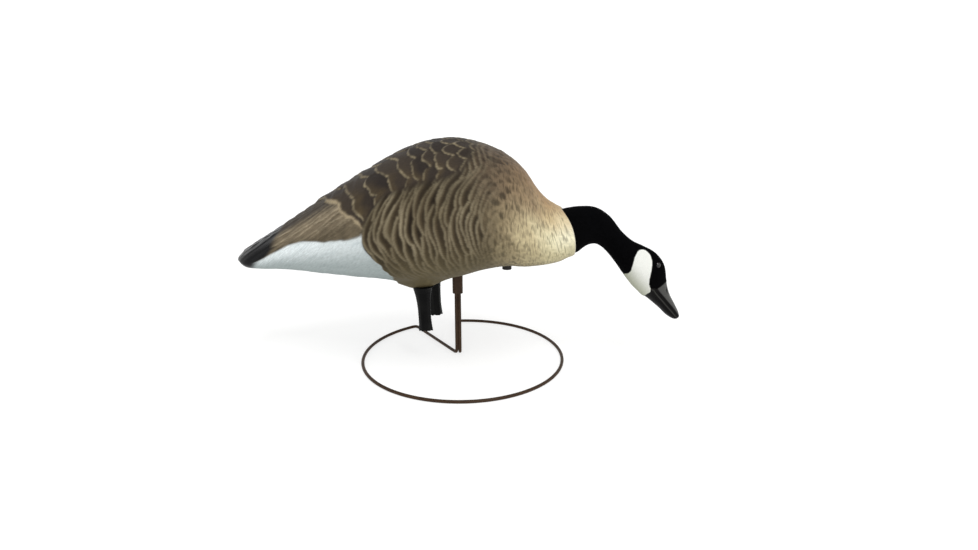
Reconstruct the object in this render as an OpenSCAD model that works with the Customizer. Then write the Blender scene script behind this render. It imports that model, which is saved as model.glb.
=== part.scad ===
// Full-body feeding goose field decoy that rocks and swivels on a bent-rod ring base.
// Millimetres. +X is towards the bill and +Z is up.
// The origin is on the ground at the middle of the ring.

/* [Base] */
// Diameter of the bent rod
rod_d = 4.8; // [4.4:0.1:5]
// Radius of the ring, to the middle of the rod
ring_r = 151.5; // [140:0.5:170]
// Direction of the left spoke, seen from above
spoke_left_deg = 123.5; // [118:0.5:130]
// Direction of the rear spoke, seen from above
spoke_rear_deg = 95.5; // [92:0.5:100]
// Radius of the bends from the spokes up into the uprights, to the middle of the rod
rod_bend_r = 8; // [7:0.5:12]
// Height of the tops of the two uprights
upright_top = 122; // [110:1:122]

/* [Post] */
// Place of the post along the decoy
post_x = -7.4; // [-12:0.1:0]
// Place of the post across the decoy
post_y = 11; // [6:1:14]
// Width of the flat-oval sleeve
sleeve_w = 15.6; // [15:0.1:17]
// Thickness of the flat-oval sleeve
sleeve_t = 9.6; // [9.4:0.1:11]
// Height of the sleeve's lower end
sleeve_bottom = 100; // [85:1:105]
// Diameter of the swivel spindle
spindle_d = 8; // [7:0.5:8]

/* [Rocker] */
// Height of the rocking axis
pivot_z = 146; // [145:0.5:147]
// Diameter of the trunnion pins
pin_d = 5; // [4:0.5:5]
// Radial clearance of the turning fits
fit_gap = 0.05; // [0.03:0.01:0.08]

/* [Body] */
// Wall of the moulded body
wall = 3; // [2.5:0.5:3.5]
// Roundness of the body's cross-section, 2 for an ellipse
section_power = 2.25; // [2:0.05:2.6]
// Radius of the opening in the belly
belly_hole_r = 23; // [22:0.5:24]
// Depth of the swelling above each leg
thigh_drop = 15; // [10:1:18]

/* [Legs and sockets] */
// Distance of the left leg behind the post
leg_left_back = 38; // [36:1:42]
// Distance of the right leg behind the post, a little further than the left one
leg_right_back = 47; // [42:1:50]
// Distance of each leg from the middle of the body
leg_side = 34; // [31:1:36]
// Height of the cut lower ends of the legs
leg_bottom = 53; // [48:1:60]
// Diameter of the bore for a ground stake
stake_bore_d = 10.4; // [9:0.1:11]
// Distance of the stake socket ahead of the post
stake_front = 74; // [70:1:80]

/* [Head] */
// Radius of the plug that joins the neck to the body
neck_plug_r = 24; // [22:0.5:25]
// Diameter of each eye
eye_d = 11; // [10:0.5:12]

/* [Hidden] */
$fn = 96;
shell_rows = 38;
shell_cols = 32;
inner_rows = 24;
inner_cols = 24;

// Colours
rod_brown = "#4a3226";
steel = "#9a9da0";
bronze = "#a9814f";
nylon = "#2c2c2e";
rubber = "#1d1d1d";
back_brown = "#6d6052";
head_black = "#121213";
eye_brown = "#2a1508";

// Heights inside the rocking mechanism
rod_z = rod_d / 2;
rod_pitch = rod_d + 0.2;
sleeve_top = 132;
sleeve_gap = 0.4;
plug_top = sleeve_top + 3;
washer_t = 1.5;
hub_bottom = plug_top + washer_t;
hub_top = 160;
arm_t = 3;
arm_top = hub_top + arm_t;
clip_t = 1;
spindle_bottom = 124;
spindle_tail_d = 4;
spindle_top = arm_top + clip_t + 3;
hub_r = 10;
bush_r = 5.2;
ear_in = 11.5;
ear_out = 18.5;
ear_r = 9.5;
rubber_r = 6;
flange_bottom = pivot_z;
flange_t = 4;
flange_top = flange_bottom + flange_t;
flange_r = 40;
screw_ring_r = 33;
screw_d = 4;
screw_bite = 3.2;
stop_x = 19.5;
stop_r = 3.5;
stop_front_h = 2.4;
stop_rear_h = 6.2;

// Body outline beside the post: distance ahead of the post, then height or half width
back_line = [[-320, 161], [-302, 174], [-266, 196], [-210, 232], [-138, 278], [-68, 316], [-8, 329],
             [50, 317], [100, 286], [132, 248], [163, 228]];
belly_line = [[-320, 152], [-304, 143], [-250, 142], [-190, 137], [-120, 132], [-50, 131],
              [4, 136], [40, 146], [72, 150.8], [100, 147.8], [140, 153], [163, 165]];
half_width = [[-320, 17], [-311, 29], [-298, 37], [-250, 52], [-174, 80], [-102, 104], [-30, 115],
              [35, 114], [90, 98], [130, 70], [163, 45]];
tail_x = -320;
seam_x = 163;
seam_z = 196.3;
seam_tilt = 17;
widest_level = 0.45;
thigh_behind_leg = 4;
thigh_len = 32;
thigh_wide = 17;

// Neck and head along their curved middle line:
// distance ahead of the post, height, heading, half height, half width
head_line = [[163.4, 196.3, 17, 33.2, 42], [180, 200.5, 5, 32, 36], [198, 203, -9, 28.5, 29.5],
             [214, 197, -22, 23.5, 24], [230, 182, -36, 18.6, 19.5], [246, 166, -38, 20, 19.5],
             [262, 152, -34, 25.5, 21.5], [277, 139, -34, 29.5, 22.5], [290, 124.5, -36, 28, 20],
             [299, 106, -42, 20, 14.5], [309.5, 90, -42, 14.5, 12], [320.5, 76, -42, 11, 11.5],
             [330, 65, -45, 6, 8.5], [333, 61.5, -45, 2.5, 4.5]];
eye_x = 294;
eye_z = 147.4;
eye_y = 12.5;

// Curve through a list of [x, value] points
function span(p, x, i = 0) = (i >= len(p) - 2 || x <= p[i + 1][0]) ? i : span(p, x, i + 1);
function slope(p, i) =
    let (a = p[max(i - 1, 0)], b = p[min(i + 1, len(p) - 1)]) (b[1] - a[1]) / (b[0] - a[0]);
function curve(p, x) =
    let (i = span(p, x), w = p[i + 1][0] - p[i][0], t = (x - p[i][0]) / w)
    (2 * t^3 - 3 * t^2 + 1) * p[i][1] + (t^3 - 2 * t^2 + t) * w * slope(p, i)
    + (3 * t^2 - 2 * t^3) * p[i + 1][1] + (t^3 - t^2) * w * slope(p, i + 1);

// Side faces and end caps that join rings of points into one closed skin
function skin_faces(rows, cols) = concat(
    [for (i = [0 : rows - 1], j = [0 : cols - 1], h = [0, 1])
        let (a = i * cols + j, b = i * cols + (j + 1) % cols)
        h == 0 ? [a, b + cols, b] : [a, a + cols, b + cols]],
    [[for (j = [0 : cols - 1]) j], [for (j = [cols - 1 : -1 : 0]) rows * cols + j]]);

// Point at an angle round a rounded section
function round_power(v, n) = sign(v) * pow(abs(v), 2 / n);

// Swelling above the legs
function leg_x(side) = side > 0 ? -leg_left_back : -leg_right_back;
function thigh(x, y) =
    thigh_drop * exp(-pow((x - leg_x(y) + thigh_behind_leg) / thigh_len, 2)
                     - pow((abs(y) - leg_side) / thigh_wide, 2));

// One point of the body, inset from the outside by a margin
function body_point(x, a, inset) =
    let (top = curve(back_line, x) - inset, low = curve(belly_line, x) + inset,
         half = curve(half_width, x) - inset, mid = low + widest_level * (top - low),
         c = round_power(cos(a), section_power), s = round_power(sin(a), section_power),
         y = half * c, z0 = mid + (s > 0 ? top - mid : mid - low) * s,
         z = s < 0 ? z0 - thigh(x, y) * pow(-s, 0.5) : z0,
         lean = tan(seam_tilt) * pow(max(0, (x - 60) / (seam_x - 60)), 2))
    [x - lean * (z - seam_z), y, z];

// Closed solid of the body between two stations
module body_solid(x0, x1, inset, rows, cols) {
    stations = [for (i = [0 : rows]) x0 + (x1 - x0) * (0.6 * i / rows + 0.2 * (1 - cos(180 * i / rows)))];
    polyhedron([for (x = stations, j = [0 : cols - 1]) body_point(x, 360 * j / cols, inset)],
               skin_faces(rows, cols));
}

// One point of the neck and head, inset from the outside by a margin
function head_value(t, k) = curve([for (i = [0 : len(head_line) - 1]) [i, head_line[i][k]]], t);
function head_point(t, a, inset) =
    let (d = head_value(t, 2), h = (head_value(t, 3) - inset) * sin(a), w = head_value(t, 4) - inset)
    [head_value(t, 0) - h * sin(d), w * cos(a), head_value(t, 1) + h * cos(d)];

// Closed solid of the neck and head between two stations
module head_solid(t0, t1, inset, rows, cols) {
    polyhedron([for (i = [0 : rows], j = [0 : cols - 1])
                    head_point(t0 + (t1 - t0) * i / rows, 360 * j / cols, inset)],
               skin_faces(rows, cols));
}

// Frames in which the sub-parts are drawn
module at_post() { translate([post_x, post_y, 0]) children(); }
module at_pivot() { translate([post_x, post_y, pivot_z]) children(); }
module at_neck() { at_post() translate([seam_x, 0, seam_z]) rotate([0, 90 - seam_tilt, 0]) children(); }
module tube(r1, r2, h) {
    difference() {
        cylinder(r = r1, h = h);
        translate([0, 0, -1]) cylinder(r = r2, h = h + 2);
    }
}
module flat_oval(w, t, h) {
    hull() for (s = [-1, 1]) translate([s * (w - t) / 2, 0, 0]) cylinder(d = t, h = h, $fn = 40);
}

// Base: a ring whose two ends turn inwards as spokes and then up as two uprights
corner_lap = 0.6; // how far each rod runs past the corner of a spoke and the ring
function foot(s) = [post_x + s * rod_pitch / 2, post_y];
function heading(a) = [cos(a), sin(a)];
function reach(s, a) = // length of a spoke, from the middle of its upright to the ring
    let (f = foot(s), k = f * heading(a)) sqrt(k * k - f * f + ring_r * ring_r) - k;
function ring_end(s, a) = let (p = foot(s) + heading(a) * reach(s, a)) atan2(p[1], p[0]);
module rod_arc(r, a) { rotate_extrude(angle = a) translate([r, 0]) circle(d = rod_d); }

module spoke(s, a) { // s is -1 for the left spoke and 1 for the rear one
    translate(foot(s)) rotate([0, 0, a]) {
        translate([0, 0, rod_z + rod_bend_r]) cylinder(d = rod_d, h = upright_top - rod_z - rod_bend_r);
        translate([rod_bend_r, 0, rod_z + rod_bend_r]) rotate([90, 0, 0]) rotate([0, 0, 180])
            rod_arc(rod_bend_r, 90);
        translate([rod_bend_r, 0, rod_z]) rotate([0, 90, 0])
            cylinder(d = rod_d, h = reach(s, a) - rod_bend_r + corner_lap);
    }
}

module base_rod() {
    lap = corner_lap * 1.5 / ring_r * 180 / PI;
    from = ring_end(-1, spoke_left_deg) - lap;
    to = ring_end(1, spoke_rear_deg) + 360 + lap;
    color(rod_brown) {
        translate([0, 0, rod_z]) rotate([0, 0, from]) rod_arc(ring_r, to - from);
        spoke(-1, spoke_left_deg);
        spoke(1, spoke_rear_deg);
    }
}

// Adapter: the sleeve that drops over the uprights and carries the spindle
module post_sleeve() {
    inner_w = rod_pitch + rod_d + 2 * sleeve_gap;
    inner_t = rod_d + sleeve_gap;
    color(rod_brown) at_post() difference() {
        translate([0, 0, sleeve_bottom]) flat_oval(sleeve_w, sleeve_t, sleeve_top - sleeve_bottom);
        translate([0, 0, sleeve_bottom - 1])
            flat_oval(inner_w, inner_t, sleeve_top - sleeve_bottom + 2);
    }
}

module sleeve_plug() {
    inner_w = rod_pitch + rod_d + 2 * sleeve_gap;
    inner_t = rod_d + sleeve_gap;
    color(nylon) at_post() difference() {
        union() {
            translate([0, 0, upright_top]) flat_oval(inner_w, inner_t, sleeve_top - upright_top);
            translate([0, 0, sleeve_top]) flat_oval(sleeve_w, sleeve_t, plug_top - sleeve_top);
        }
        translate([0, 0, spindle_bottom]) cylinder(d = spindle_tail_d, h = plug_top);
    }
}

module spindle() {
    r = spindle_d / 2;
    groove_r = r - 0.9;
    color(steel) at_post() rotate_extrude()
        polygon([[0, spindle_bottom], [spindle_tail_d / 2, spindle_bottom],
                 [spindle_tail_d / 2, plug_top], [r, plug_top], [r, arm_top],
                 [groove_r, arm_top], [groove_r, arm_top + clip_t], [r, arm_top + clip_t],
                 [r, spindle_top - 1], [r - 1, spindle_top], [0, spindle_top]]);
}

module thrust_washer() {
    color(nylon) at_post() translate([0, 0, plug_top]) tube(hub_r - 2, spindle_d / 2 + fit_gap, washer_t);
}

module spindle_clip() {
    slot = spindle_d - 2.4;
    color(steel) at_post() translate([0, 0, arm_top]) difference() {
        tube(spindle_d / 2 + 3, spindle_d / 2 - 0.9, clip_t);
        translate([0, -slot / 2, -1]) cube([spindle_d, slot, clip_t + 2]);
    }
}

// Swivel: the hub that turns on the spindle
module swivel_hub() {
    color(nylon) at_post() difference() {
        union() {
            translate([0, 0, hub_bottom]) cylinder(r = hub_r, h = hub_top - hub_bottom);
            translate([-(stop_x + stop_r), -6, hub_top]) cube([2 * (stop_x + stop_r), 12, arm_t]);
        }
        translate([0, 0, hub_bottom - 1]) cylinder(r = bush_r, h = arm_top - hub_bottom + 2);
        translate([0, ear_out, pivot_z]) rotate([90, 0, 0]) cylinder(d = pin_d, h = 2 * ear_out);
    }
}

module hub_bush() {
    color(bronze) at_post() translate([0, 0, hub_bottom])
        tube(bush_r, spindle_d / 2 + fit_gap, arm_top - hub_bottom);
}

module trunnion_pins() {
    color(steel) at_pivot() for (s = [-1, 1])
        rotate([-90 * s, 0, 0]) translate([0, 0, bush_r + 0.1]) cylinder(d = pin_d, h = ear_out - bush_r);
}

// Rocker: everything that tips with the body
module pivot_bracket() {
    color(nylon) at_pivot() difference() {
        union() {
            cylinder(r = flange_r, h = flange_t);
            for (s = [-1, 1]) rotate([-90 * s, 0, 0]) translate([0, 0, ear_in])
                cylinder(r = ear_r, h = ear_out - ear_in);
        }
        translate([-15, -ear_in, -flange_r]) cube([30, 2 * ear_in, 2 * flange_r]);
        rotate([90, 0, 0]) translate([0, 0, -flange_r]) cylinder(r = rubber_r, h = 2 * flange_r);
        for (a = [45 : 90 : 315]) rotate([0, 0, a]) translate([screw_ring_r, 0, -1])
            cylinder(d = screw_d, h = flange_t + 2);
    }
}

module rubber_bushes() {
    color(rubber) at_pivot() for (s = [-1, 1])
        rotate([-90 * s, 0, 0]) translate([0, 0, ear_in]) tube(rubber_r, pin_d / 2 + fit_gap, ear_out - ear_in);
}

module bracket_screws() {
    color(steel) at_pivot() for (a = [45 : 90 : 315])
        rotate([0, 0, a]) translate([screw_ring_r, 0, 0]) {
            translate([0, 0, flange_t]) difference() {
                cylinder(d = 8, h = 2.6);
                for (q = [0, 90]) rotate([0, 0, q]) translate([-2.4, -0.6, 1.2]) cube([4.8, 1.2, 3]);
            }
            translate([0, 0, -screw_bite]) cylinder(d = screw_d, h = flange_t + screw_bite);
        }
}

module rock_stops() {
    color(rubber) at_pivot() translate([0, 0, flange_t]) {
        translate([stop_x, 0, 0]) cylinder(r = stop_r, h = stop_front_h);
        translate([-stop_x, 0, 0]) cylinder(r = stop_r, h = stop_rear_h);
    }
}

grommet_r = belly_hole_r + 4;
grommet_seat = 140;
grommet_boss_r = grommet_r + 3;
module belly_grommet() {
    color(rubber) at_post() {
        translate([0, 0, grommet_seat - 2.5]) tube(grommet_r, belly_hole_r - 1.8, 2.5);
        translate([0, 0, grommet_seat]) tube(belly_hole_r, belly_hole_r - 1.8, pivot_z - grommet_seat);
    }
}

// Body: a hollow moulding with seats for the bracket, legs, stake socket and neck
leg_seat = 122;
leg_wall = 6;
leg_neck_r = 8;
leg_top_r = 15;
socket_r = 7;
socket_low = 138;
socket_seat = 154.5;
socket_flange_t = 3;
neck_socket_r = neck_plug_r + 4;
neck_wall = 4;

module leg_places() {
    for (s = [-1, 1]) translate([leg_x(s), s * leg_side, 0]) children();
}

module body_hollow() { // the inside, less the solid seats that stand in it
    difference() {
        body_solid(tail_x + 14, seam_x - 5, wall, inner_rows, inner_cols);
        translate([0, 0, 120]) cylinder(r = flange_r + 2, h = flange_bottom - 120);
        leg_places() translate([0, 0, 110]) cylinder(r = leg_top_r + 2, h = leg_seat + leg_wall - 110);
        translate([stake_front, 0, 130]) cylinder(r = 2 * socket_r, h = socket_seat - 130);
    }
}

module body_shell() {
    color(back_brown) difference() {
        at_post() difference() {
            union() {
                body_solid(tail_x, seam_x, 0, shell_rows, shell_cols);
                translate([0, 0, grommet_seat]) cylinder(r = grommet_boss_r, h = flange_bottom - grommet_seat);
            }
            body_hollow();
            translate([0, 0, 100]) cylinder(r = belly_hole_r, h = 60);
            translate([0, 0, 100]) cylinder(r = grommet_r, h = grommet_seat - 100);
            translate([0, 0, flange_bottom]) cylinder(r = flange_r + 1, h = 16);
            for (a = [45 : 90 : 315]) rotate([0, 0, a])
                translate([screw_ring_r, 0, flange_bottom - screw_bite]) cylinder(d = screw_d, h = 5);
            leg_places() {
                translate([0, 0, 100]) cylinder(r = leg_neck_r, h = 40);
                translate([0, 0, 90]) cylinder(r = leg_top_r + 0.3, h = leg_seat - 90);
                translate([0, 0, leg_seat + leg_wall]) cylinder(r = leg_top_r, h = 12);
            }
            translate([stake_front, 0, 130]) cylinder(r = socket_r, h = 30);
            translate([stake_front, 0, socket_seat]) cylinder(r = 2 * socket_r - 0.5, h = 8);
        }
        at_neck() {
            translate([0, 0, -30]) cylinder(r = neck_socket_r, h = 40);
            translate([0, 0, -20]) cylinder(r = neck_socket_r + 3.2, h = 20 - neck_wall);
        }
    }
}

module leg(side) {
    neck_h = leg_wall + 0.1;
    color(rubber) at_post() translate([leg_x(side), side * leg_side, 0]) rotate_extrude() polygon([
        [0, leg_bottom], [8.6, leg_bottom], [9.4, leg_bottom + 2], [8.8, leg_bottom + 22],
        [9, leg_seat - 22], [10.6, leg_seat - 12], [leg_top_r - 1, leg_seat - 3], [leg_top_r, leg_seat],
        [leg_neck_r, leg_seat], [leg_neck_r, leg_seat + neck_h], [12, leg_seat + neck_h],
        [10, leg_seat + neck_h + 4], [0, leg_seat + neck_h + 4]]);
}
module leg_left() { leg(1); }
module leg_right() { leg(-1); }

module stake_socket() {
    length = 46;
    color(nylon) at_post() translate([stake_front, 0, socket_low]) difference() {
        union() {
            cylinder(r = socket_r, h = length);
            translate([0, 0, socket_seat - socket_low]) cylinder(r = 2 * socket_r - 1, h = socket_flange_t);
        }
        translate([0, 0, -1]) cylinder(d = stake_bore_d, h = length - 3);
    }
}

module stake_socket_nut() {
    color(nylon) at_post() translate([stake_front, 0, socket_seat + socket_flange_t]) difference() {
        cylinder(r = 12, h = 6, $fn = 6);
        translate([0, 0, -1]) cylinder(r = socket_r, h = 8);
    }
}

module neck_socket() {
    depth = 26;
    color(nylon) at_neck() difference() {
        union() {
            translate([0, 0, -depth]) cylinder(r = neck_socket_r, h = depth - 0.5);
            translate([0, 0, -neck_wall - 3]) cylinder(r = neck_socket_r + 3, h = 3);
        }
        translate([0, 0, -depth - 1]) cylinder(r = neck_plug_r + fit_gap, h = depth + 2);
    }
}

// Head: pulls off forwards along the neck
seal_r = 1.1;
seal_at = -14;
module head_neck() {
    color(head_black) difference() {
        at_post() difference() {
            head_solid(0, len(head_line) - 1, 0, 52, 28);
            head_solid(0.35, 8.3, wall, 24, 20);
            for (s = [-1, 1]) translate([eye_x, s * eye_y, eye_z]) sphere(d = eye_d);
        }
        at_neck() translate([0, 0, -2]) cylinder(r = neck_plug_r, h = 12);
    }
}

module neck_plug() {
    length = 32;
    color(nylon) at_neck() translate([0, 0, -24]) difference() {
        cylinder(r = neck_plug_r, h = length);
        translate([0, 0, -1]) cylinder(r = neck_plug_r - 4, h = length + 2);
        translate([0, 0, 24 + seal_at - seal_r - 0.1])
            tube(neck_plug_r + 1, neck_plug_r - 2 * seal_r - 0.1, 2 * seal_r + 0.2);
    }
}

module neck_seal() {
    color(rubber) at_neck() translate([0, 0, seal_at]) rotate_extrude()
        translate([neck_plug_r - seal_r, 0]) circle(r = seal_r);
}

module eye(s) { color(eye_brown) at_post() translate([eye_x, s * eye_y, eye_z]) sphere(d = eye_d); }
module eye_left() { eye(1); }
module eye_right() { eye(-1); }

base_rod();
post_sleeve();
sleeve_plug();
spindle();
thrust_washer();
spindle_clip();
swivel_hub();
hub_bush();
trunnion_pins();
pivot_bracket();
rubber_bushes();
bracket_screws();
rock_stops();
belly_grommet();
body_shell();
leg_left();
leg_right();
stake_socket();
stake_socket_nut();
neck_socket();
head_neck();
neck_plug();
neck_seal();
eye_left();
eye_right();
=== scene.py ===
"""Looks of the feeding goose field decoy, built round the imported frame.

Blender units are metres. +X is towards the bill, +Y the decoy's left, +Z up.
The outlines of the body and head are the frame's own, in millimetres from the post.
"""
import math

import bpy
import numpy as np
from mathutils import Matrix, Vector, kdtree


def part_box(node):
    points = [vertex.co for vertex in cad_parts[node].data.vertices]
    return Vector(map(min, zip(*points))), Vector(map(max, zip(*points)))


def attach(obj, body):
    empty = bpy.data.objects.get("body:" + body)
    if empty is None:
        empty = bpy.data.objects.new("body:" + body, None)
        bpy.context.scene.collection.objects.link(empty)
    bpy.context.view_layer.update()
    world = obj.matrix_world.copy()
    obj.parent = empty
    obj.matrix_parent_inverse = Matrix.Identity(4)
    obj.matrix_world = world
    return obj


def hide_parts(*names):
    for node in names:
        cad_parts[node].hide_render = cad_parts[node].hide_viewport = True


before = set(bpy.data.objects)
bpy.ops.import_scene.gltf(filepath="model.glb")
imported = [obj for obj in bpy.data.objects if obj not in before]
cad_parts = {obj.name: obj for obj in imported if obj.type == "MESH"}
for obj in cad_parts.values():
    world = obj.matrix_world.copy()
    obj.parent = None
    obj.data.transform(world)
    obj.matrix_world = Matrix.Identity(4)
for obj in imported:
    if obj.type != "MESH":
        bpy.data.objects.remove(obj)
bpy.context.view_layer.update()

MM = 0.001
spindle_low, spindle_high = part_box("spindle")
POST = Vector(((spindle_low.x + spindle_high.x) / 2, (spindle_low.y + spindle_high.y) / 2, 0.0))
TURN = 2 * math.pi
CYLINDER_SIDES = 72


# ---------- numbers and noise
def srgb(r, g, b):
    """A colour given in 0 to 255, as Blender's linear values."""
    c = np.array([r, g, b], float) / 255
    return np.where(c <= 0.04045, c / 12.92, ((c + 0.055) / 1.055) ** 2.4)


def ease(lo, hi, x):
    """0 at lo, 1 at hi, smooth between."""
    t = np.clip((np.asarray(x, float) - lo) / (hi - lo), 0, 1)
    return t * t * (3 - 2 * t)


def mix(a, b, t):
    """Blend of two numbers or fields of numbers."""
    return a + (b - a) * t


def tint(a, b, t):
    """Blend of two colours, or fields of colours, by a field of weights."""
    return a + (b - a) * np.asarray(t, float)[..., None]


def coated(colour, *coats):
    """Coats of paint one over another, each a colour in 0 to 255 and its weight."""
    for paint, weight in coats:
        colour = tint(colour, srgb(*paint), weight)
    return colour


def hash01(i, j, seed):
    """The same number from 0 to 1 each time for a cell of a lattice."""
    v = np.sin(i * 127.1 + j * 311.7 + seed * 74.7) * 43758.5453
    return v - np.floor(v)


def noise(x, y, seed):
    """Smooth noise from 0 to 1 with a unit cell."""
    xi, yi = np.floor(x), np.floor(y)
    fx, fy = x - xi, y - yi
    sx, sy = fx * fx * (3 - 2 * fx), fy * fy * (3 - 2 * fy)
    low = hash01(xi, yi, seed) * (1 - sx) + hash01(xi + 1, yi, seed) * sx
    high = hash01(xi, yi + 1, seed) * (1 - sx) + hash01(xi + 1, yi + 1, seed) * sx
    return low * (1 - sy) + high * sy


def curve(points, x):
    """Smooth curve through [x, value] points."""
    p = np.array(points, float)
    x = np.asarray(x, float)
    i = np.clip(np.searchsorted(p[:, 0], x, side="left") - 1, 0, len(p) - 2)
    width = p[i + 1, 0] - p[i, 0]
    t = (x - p[i, 0]) / width

    def slope(k):
        a, b = p[np.maximum(k - 1, 0)], p[np.minimum(k + 1, len(p) - 1)]
        return (b[..., 1] - a[..., 1]) / (b[..., 0] - a[..., 0])

    return ((2 * t**3 - 3 * t**2 + 1) * p[i, 1] + (t**3 - 2 * t**2 + t) * width * slope(i)
            + (3 * t**2 - 2 * t**3) * p[i + 1, 1] + (t**3 - t**2) * width * slope(i + 1))


def track(points, x):
    """Straight-line track through [x, value] points."""
    p = np.array(points, float)
    return np.interp(x, p[:, 0], p[:, 1])


def run_of(points, axis):
    """Distance run along one axis of an array of points, from 0."""
    steps = np.linalg.norm(np.diff(points, axis=axis), axis=-1)
    return np.insert(np.cumsum(steps, axis=axis), 0, 0, axis=axis)


def to_metres(points):
    """Millimetres from the post to metres in the frame."""
    return points * MM + np.array(POST)


# ---------- meshes
def placed(name, data):
    """A new object in the scene."""
    obj = bpy.data.objects.new(name, data)
    bpy.context.scene.collection.objects.link(obj)
    return obj


def new_object(name, verts, faces):
    """An object made of vertices and faces."""
    mesh = bpy.data.meshes.new(name)
    mesh.from_pydata(verts, [], faces)
    mesh.validate()
    return placed(name, mesh)


def vertex_places(mesh):
    """Places of a mesh's vertices, one row each."""
    co = np.empty(len(mesh.vertices) * 3)
    mesh.vertices.foreach_get("co", co)
    return co.reshape(-1, 3)


def signed_volume(mesh):
    """Volume inside a closed mesh; negative when its faces point inwards."""
    mesh.calc_loop_triangles()
    tri = np.empty(len(mesh.loop_triangles) * 3, int)
    mesh.loop_triangles.foreach_get("vertices", tri)
    corners = vertex_places(mesh)[tri.reshape(-1, 3)]
    return float(np.einsum("ij,ij->", corners[:, 0], np.cross(corners[:, 1], corners[:, 2])) / 6)


def round_grid(stations, count):
    """The stations crossed with `count` even angles round."""
    angles = np.linspace(0, TURN, count, endpoint=False)
    return np.meshgrid(stations, angles, indexing="ij")


def skin(name, points):
    """Closed skin over rings of points, shape (rings, points round, 3), in metres."""
    rings, around, _ = points.shape
    i, j = np.meshgrid(np.arange(rings - 1), np.arange(around), indexing="ij")
    a, b = i * around + j, i * around + (j + 1) % around
    faces = np.stack([a, b, b + around, a + around], -1).reshape(-1, 4).tolist()
    first, last, base = rings * around, rings * around + 1, (rings - 1) * around
    for k in range(around):
        after = (k + 1) % around
        faces.append([first, after, k])
        faces.append([last, base + k, base + after])
    ends = np.stack([points[0].mean(0), points[-1].mean(0)])
    obj = new_object(name, np.vstack([points.reshape(-1, 3), ends]).tolist(), faces)
    if signed_volume(obj.data) < 0:
        obj.data.flip_normals()
    return obj


def cylinder(name, start, end, radius):
    """Closed cylinder between two points."""
    start, end = Vector(start), Vector(end)
    turn = (end - start).to_track_quat("Z", "Y")
    angles = [TURN * k / CYLINDER_SIDES for k in range(CYLINDER_SIDES)]
    ring = [turn @ Vector((radius * math.cos(a), radius * math.sin(a), 0)) for a in angles]
    return skin(name, np.array([[tuple(p + r) for r in ring] for p in (start, end)]))


def upright(name, middle, bottom, top, radius):
    """Closed upright cylinder between two heights."""
    return cylinder(name, (middle.x, middle.y, bottom), (middle.x, middle.y, top), radius)


def node_middle(node):
    """Middle of a node's box and half the box's length along X, in metres."""
    low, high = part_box(node)
    return (low + high) / 2, (high.x - low.x) / 2


def applied(obj):
    """Turns an object's modifiers into its mesh."""
    graph = bpy.context.evaluated_depsgraph_get()
    old = obj.data
    mesh = bpy.data.meshes.new_from_object(obj.evaluated_get(graph))
    obj.modifiers.clear()
    obj.data = mesh
    if old.users == 0:
        bpy.data.meshes.remove(old)
    return obj


def copy_of(node, name):
    """A separate welded copy of a CAD node's mesh."""
    obj = placed(name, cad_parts[node].data.copy())
    obj.modifiers.new("weld", "WELD").merge_threshold = MM / 1000
    return applied(obj)


def carve(obj, tool, operation="DIFFERENCE"):
    """Boolean of two closed meshes; the tool is used up."""
    mod = obj.modifiers.new("carve", "BOOLEAN")
    mod.operation = operation
    mod.solver = "MANIFOLD"
    mod.object = tool
    applied(obj)
    bpy.data.objects.remove(tool)


def nearest(places, wanted):
    """For each wanted point, the nearest place's index and its distance."""
    tree = kdtree.KDTree(len(places))
    for k, p in enumerate(places):
        tree.insert(p, k)
    tree.balance()
    found = [tree.find(p) for p in wanted]
    return np.array([f[1] for f in found]), np.array([f[2] for f in found])


def set_attribute(mesh, name, kind, values):
    """Stores one value a vertex on a mesh."""
    layer = mesh.attributes.new(name, kind, "POINT")
    values = np.asarray(values, float)
    if kind == "FLOAT_COLOR":
        values = np.hstack([values, np.ones((len(values), 1))])
    field = {"FLOAT_COLOR": "color", "FLOAT_VECTOR": "vector", "FLOAT": "value"}[kind]
    layer.data.foreach_set(field, values.ravel())


def dress(obj, outer, colour, shine, flow, inner_colour, far):
    """Carries paint from the outer skin's points to a carved mesh.

    Vertices further than `far` from them are inside. Returns each one's nearest
    point and whether it is inside.
    """
    mesh = obj.data
    near, gap = nearest(outer.reshape(-1, 3), vertex_places(mesh))
    inside = gap > far
    paint = colour.reshape(-1, 3)[near]
    paint[inside] = inner_colour
    set_attribute(mesh, "paint", "FLOAT_COLOR", paint)
    set_attribute(mesh, "shine", "FLOAT", np.where(inside, 0, shine.ravel()[near]))
    flow = flow.reshape(-1, 3)[near]
    flow[inside, 2] = 0
    set_attribute(mesh, "flow", "FLOAT_VECTOR", flow)
    return near, inside


def paint_with(obj, *mats):
    """Replaces an object's materials."""
    obj.data.materials.clear()
    for m in mats:
        obj.data.materials.append(m)


def shade(obj, angle):
    """Smooth shading with sharp edges over an angle."""
    obj.data.polygons.foreach_set("use_smooth", [True] * len(obj.data.polygons))
    obj.data.set_sharp_from_angle(angle=math.radians(angle))


def surface_normals(points):
    """Outward normals of rings of points that close round."""
    along = np.gradient(points, axis=0)
    around = (np.roll(points, -1, axis=1) - np.roll(points, 1, axis=1)) / 2
    n = np.cross(along, around)
    n /= np.maximum(np.linalg.norm(n, axis=-1, keepdims=True), 1e-12)
    out = points - points.mean(axis=1, keepdims=True)
    return -n if np.einsum("ijk,ijk->", n, out) < 0 else n


# ---------- materials
def fill(tree, node, inputs):
    """Sets a node's inputs to values or to other nodes' outputs."""
    for key, value in inputs.items():
        if isinstance(value, bpy.types.NodeSocket):
            tree.links.new(value, node.inputs[key])
        else:
            node.inputs[key].default_value = value


def add(tree, kind, inputs, output=0, **settings):
    """One output of a new node with its settings and inputs."""
    node = tree.nodes.new("ShaderNode" + kind)
    for key, value in settings.items():
        setattr(node, key, value)
    fill(tree, node, inputs)
    return node.outputs[output]


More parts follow.
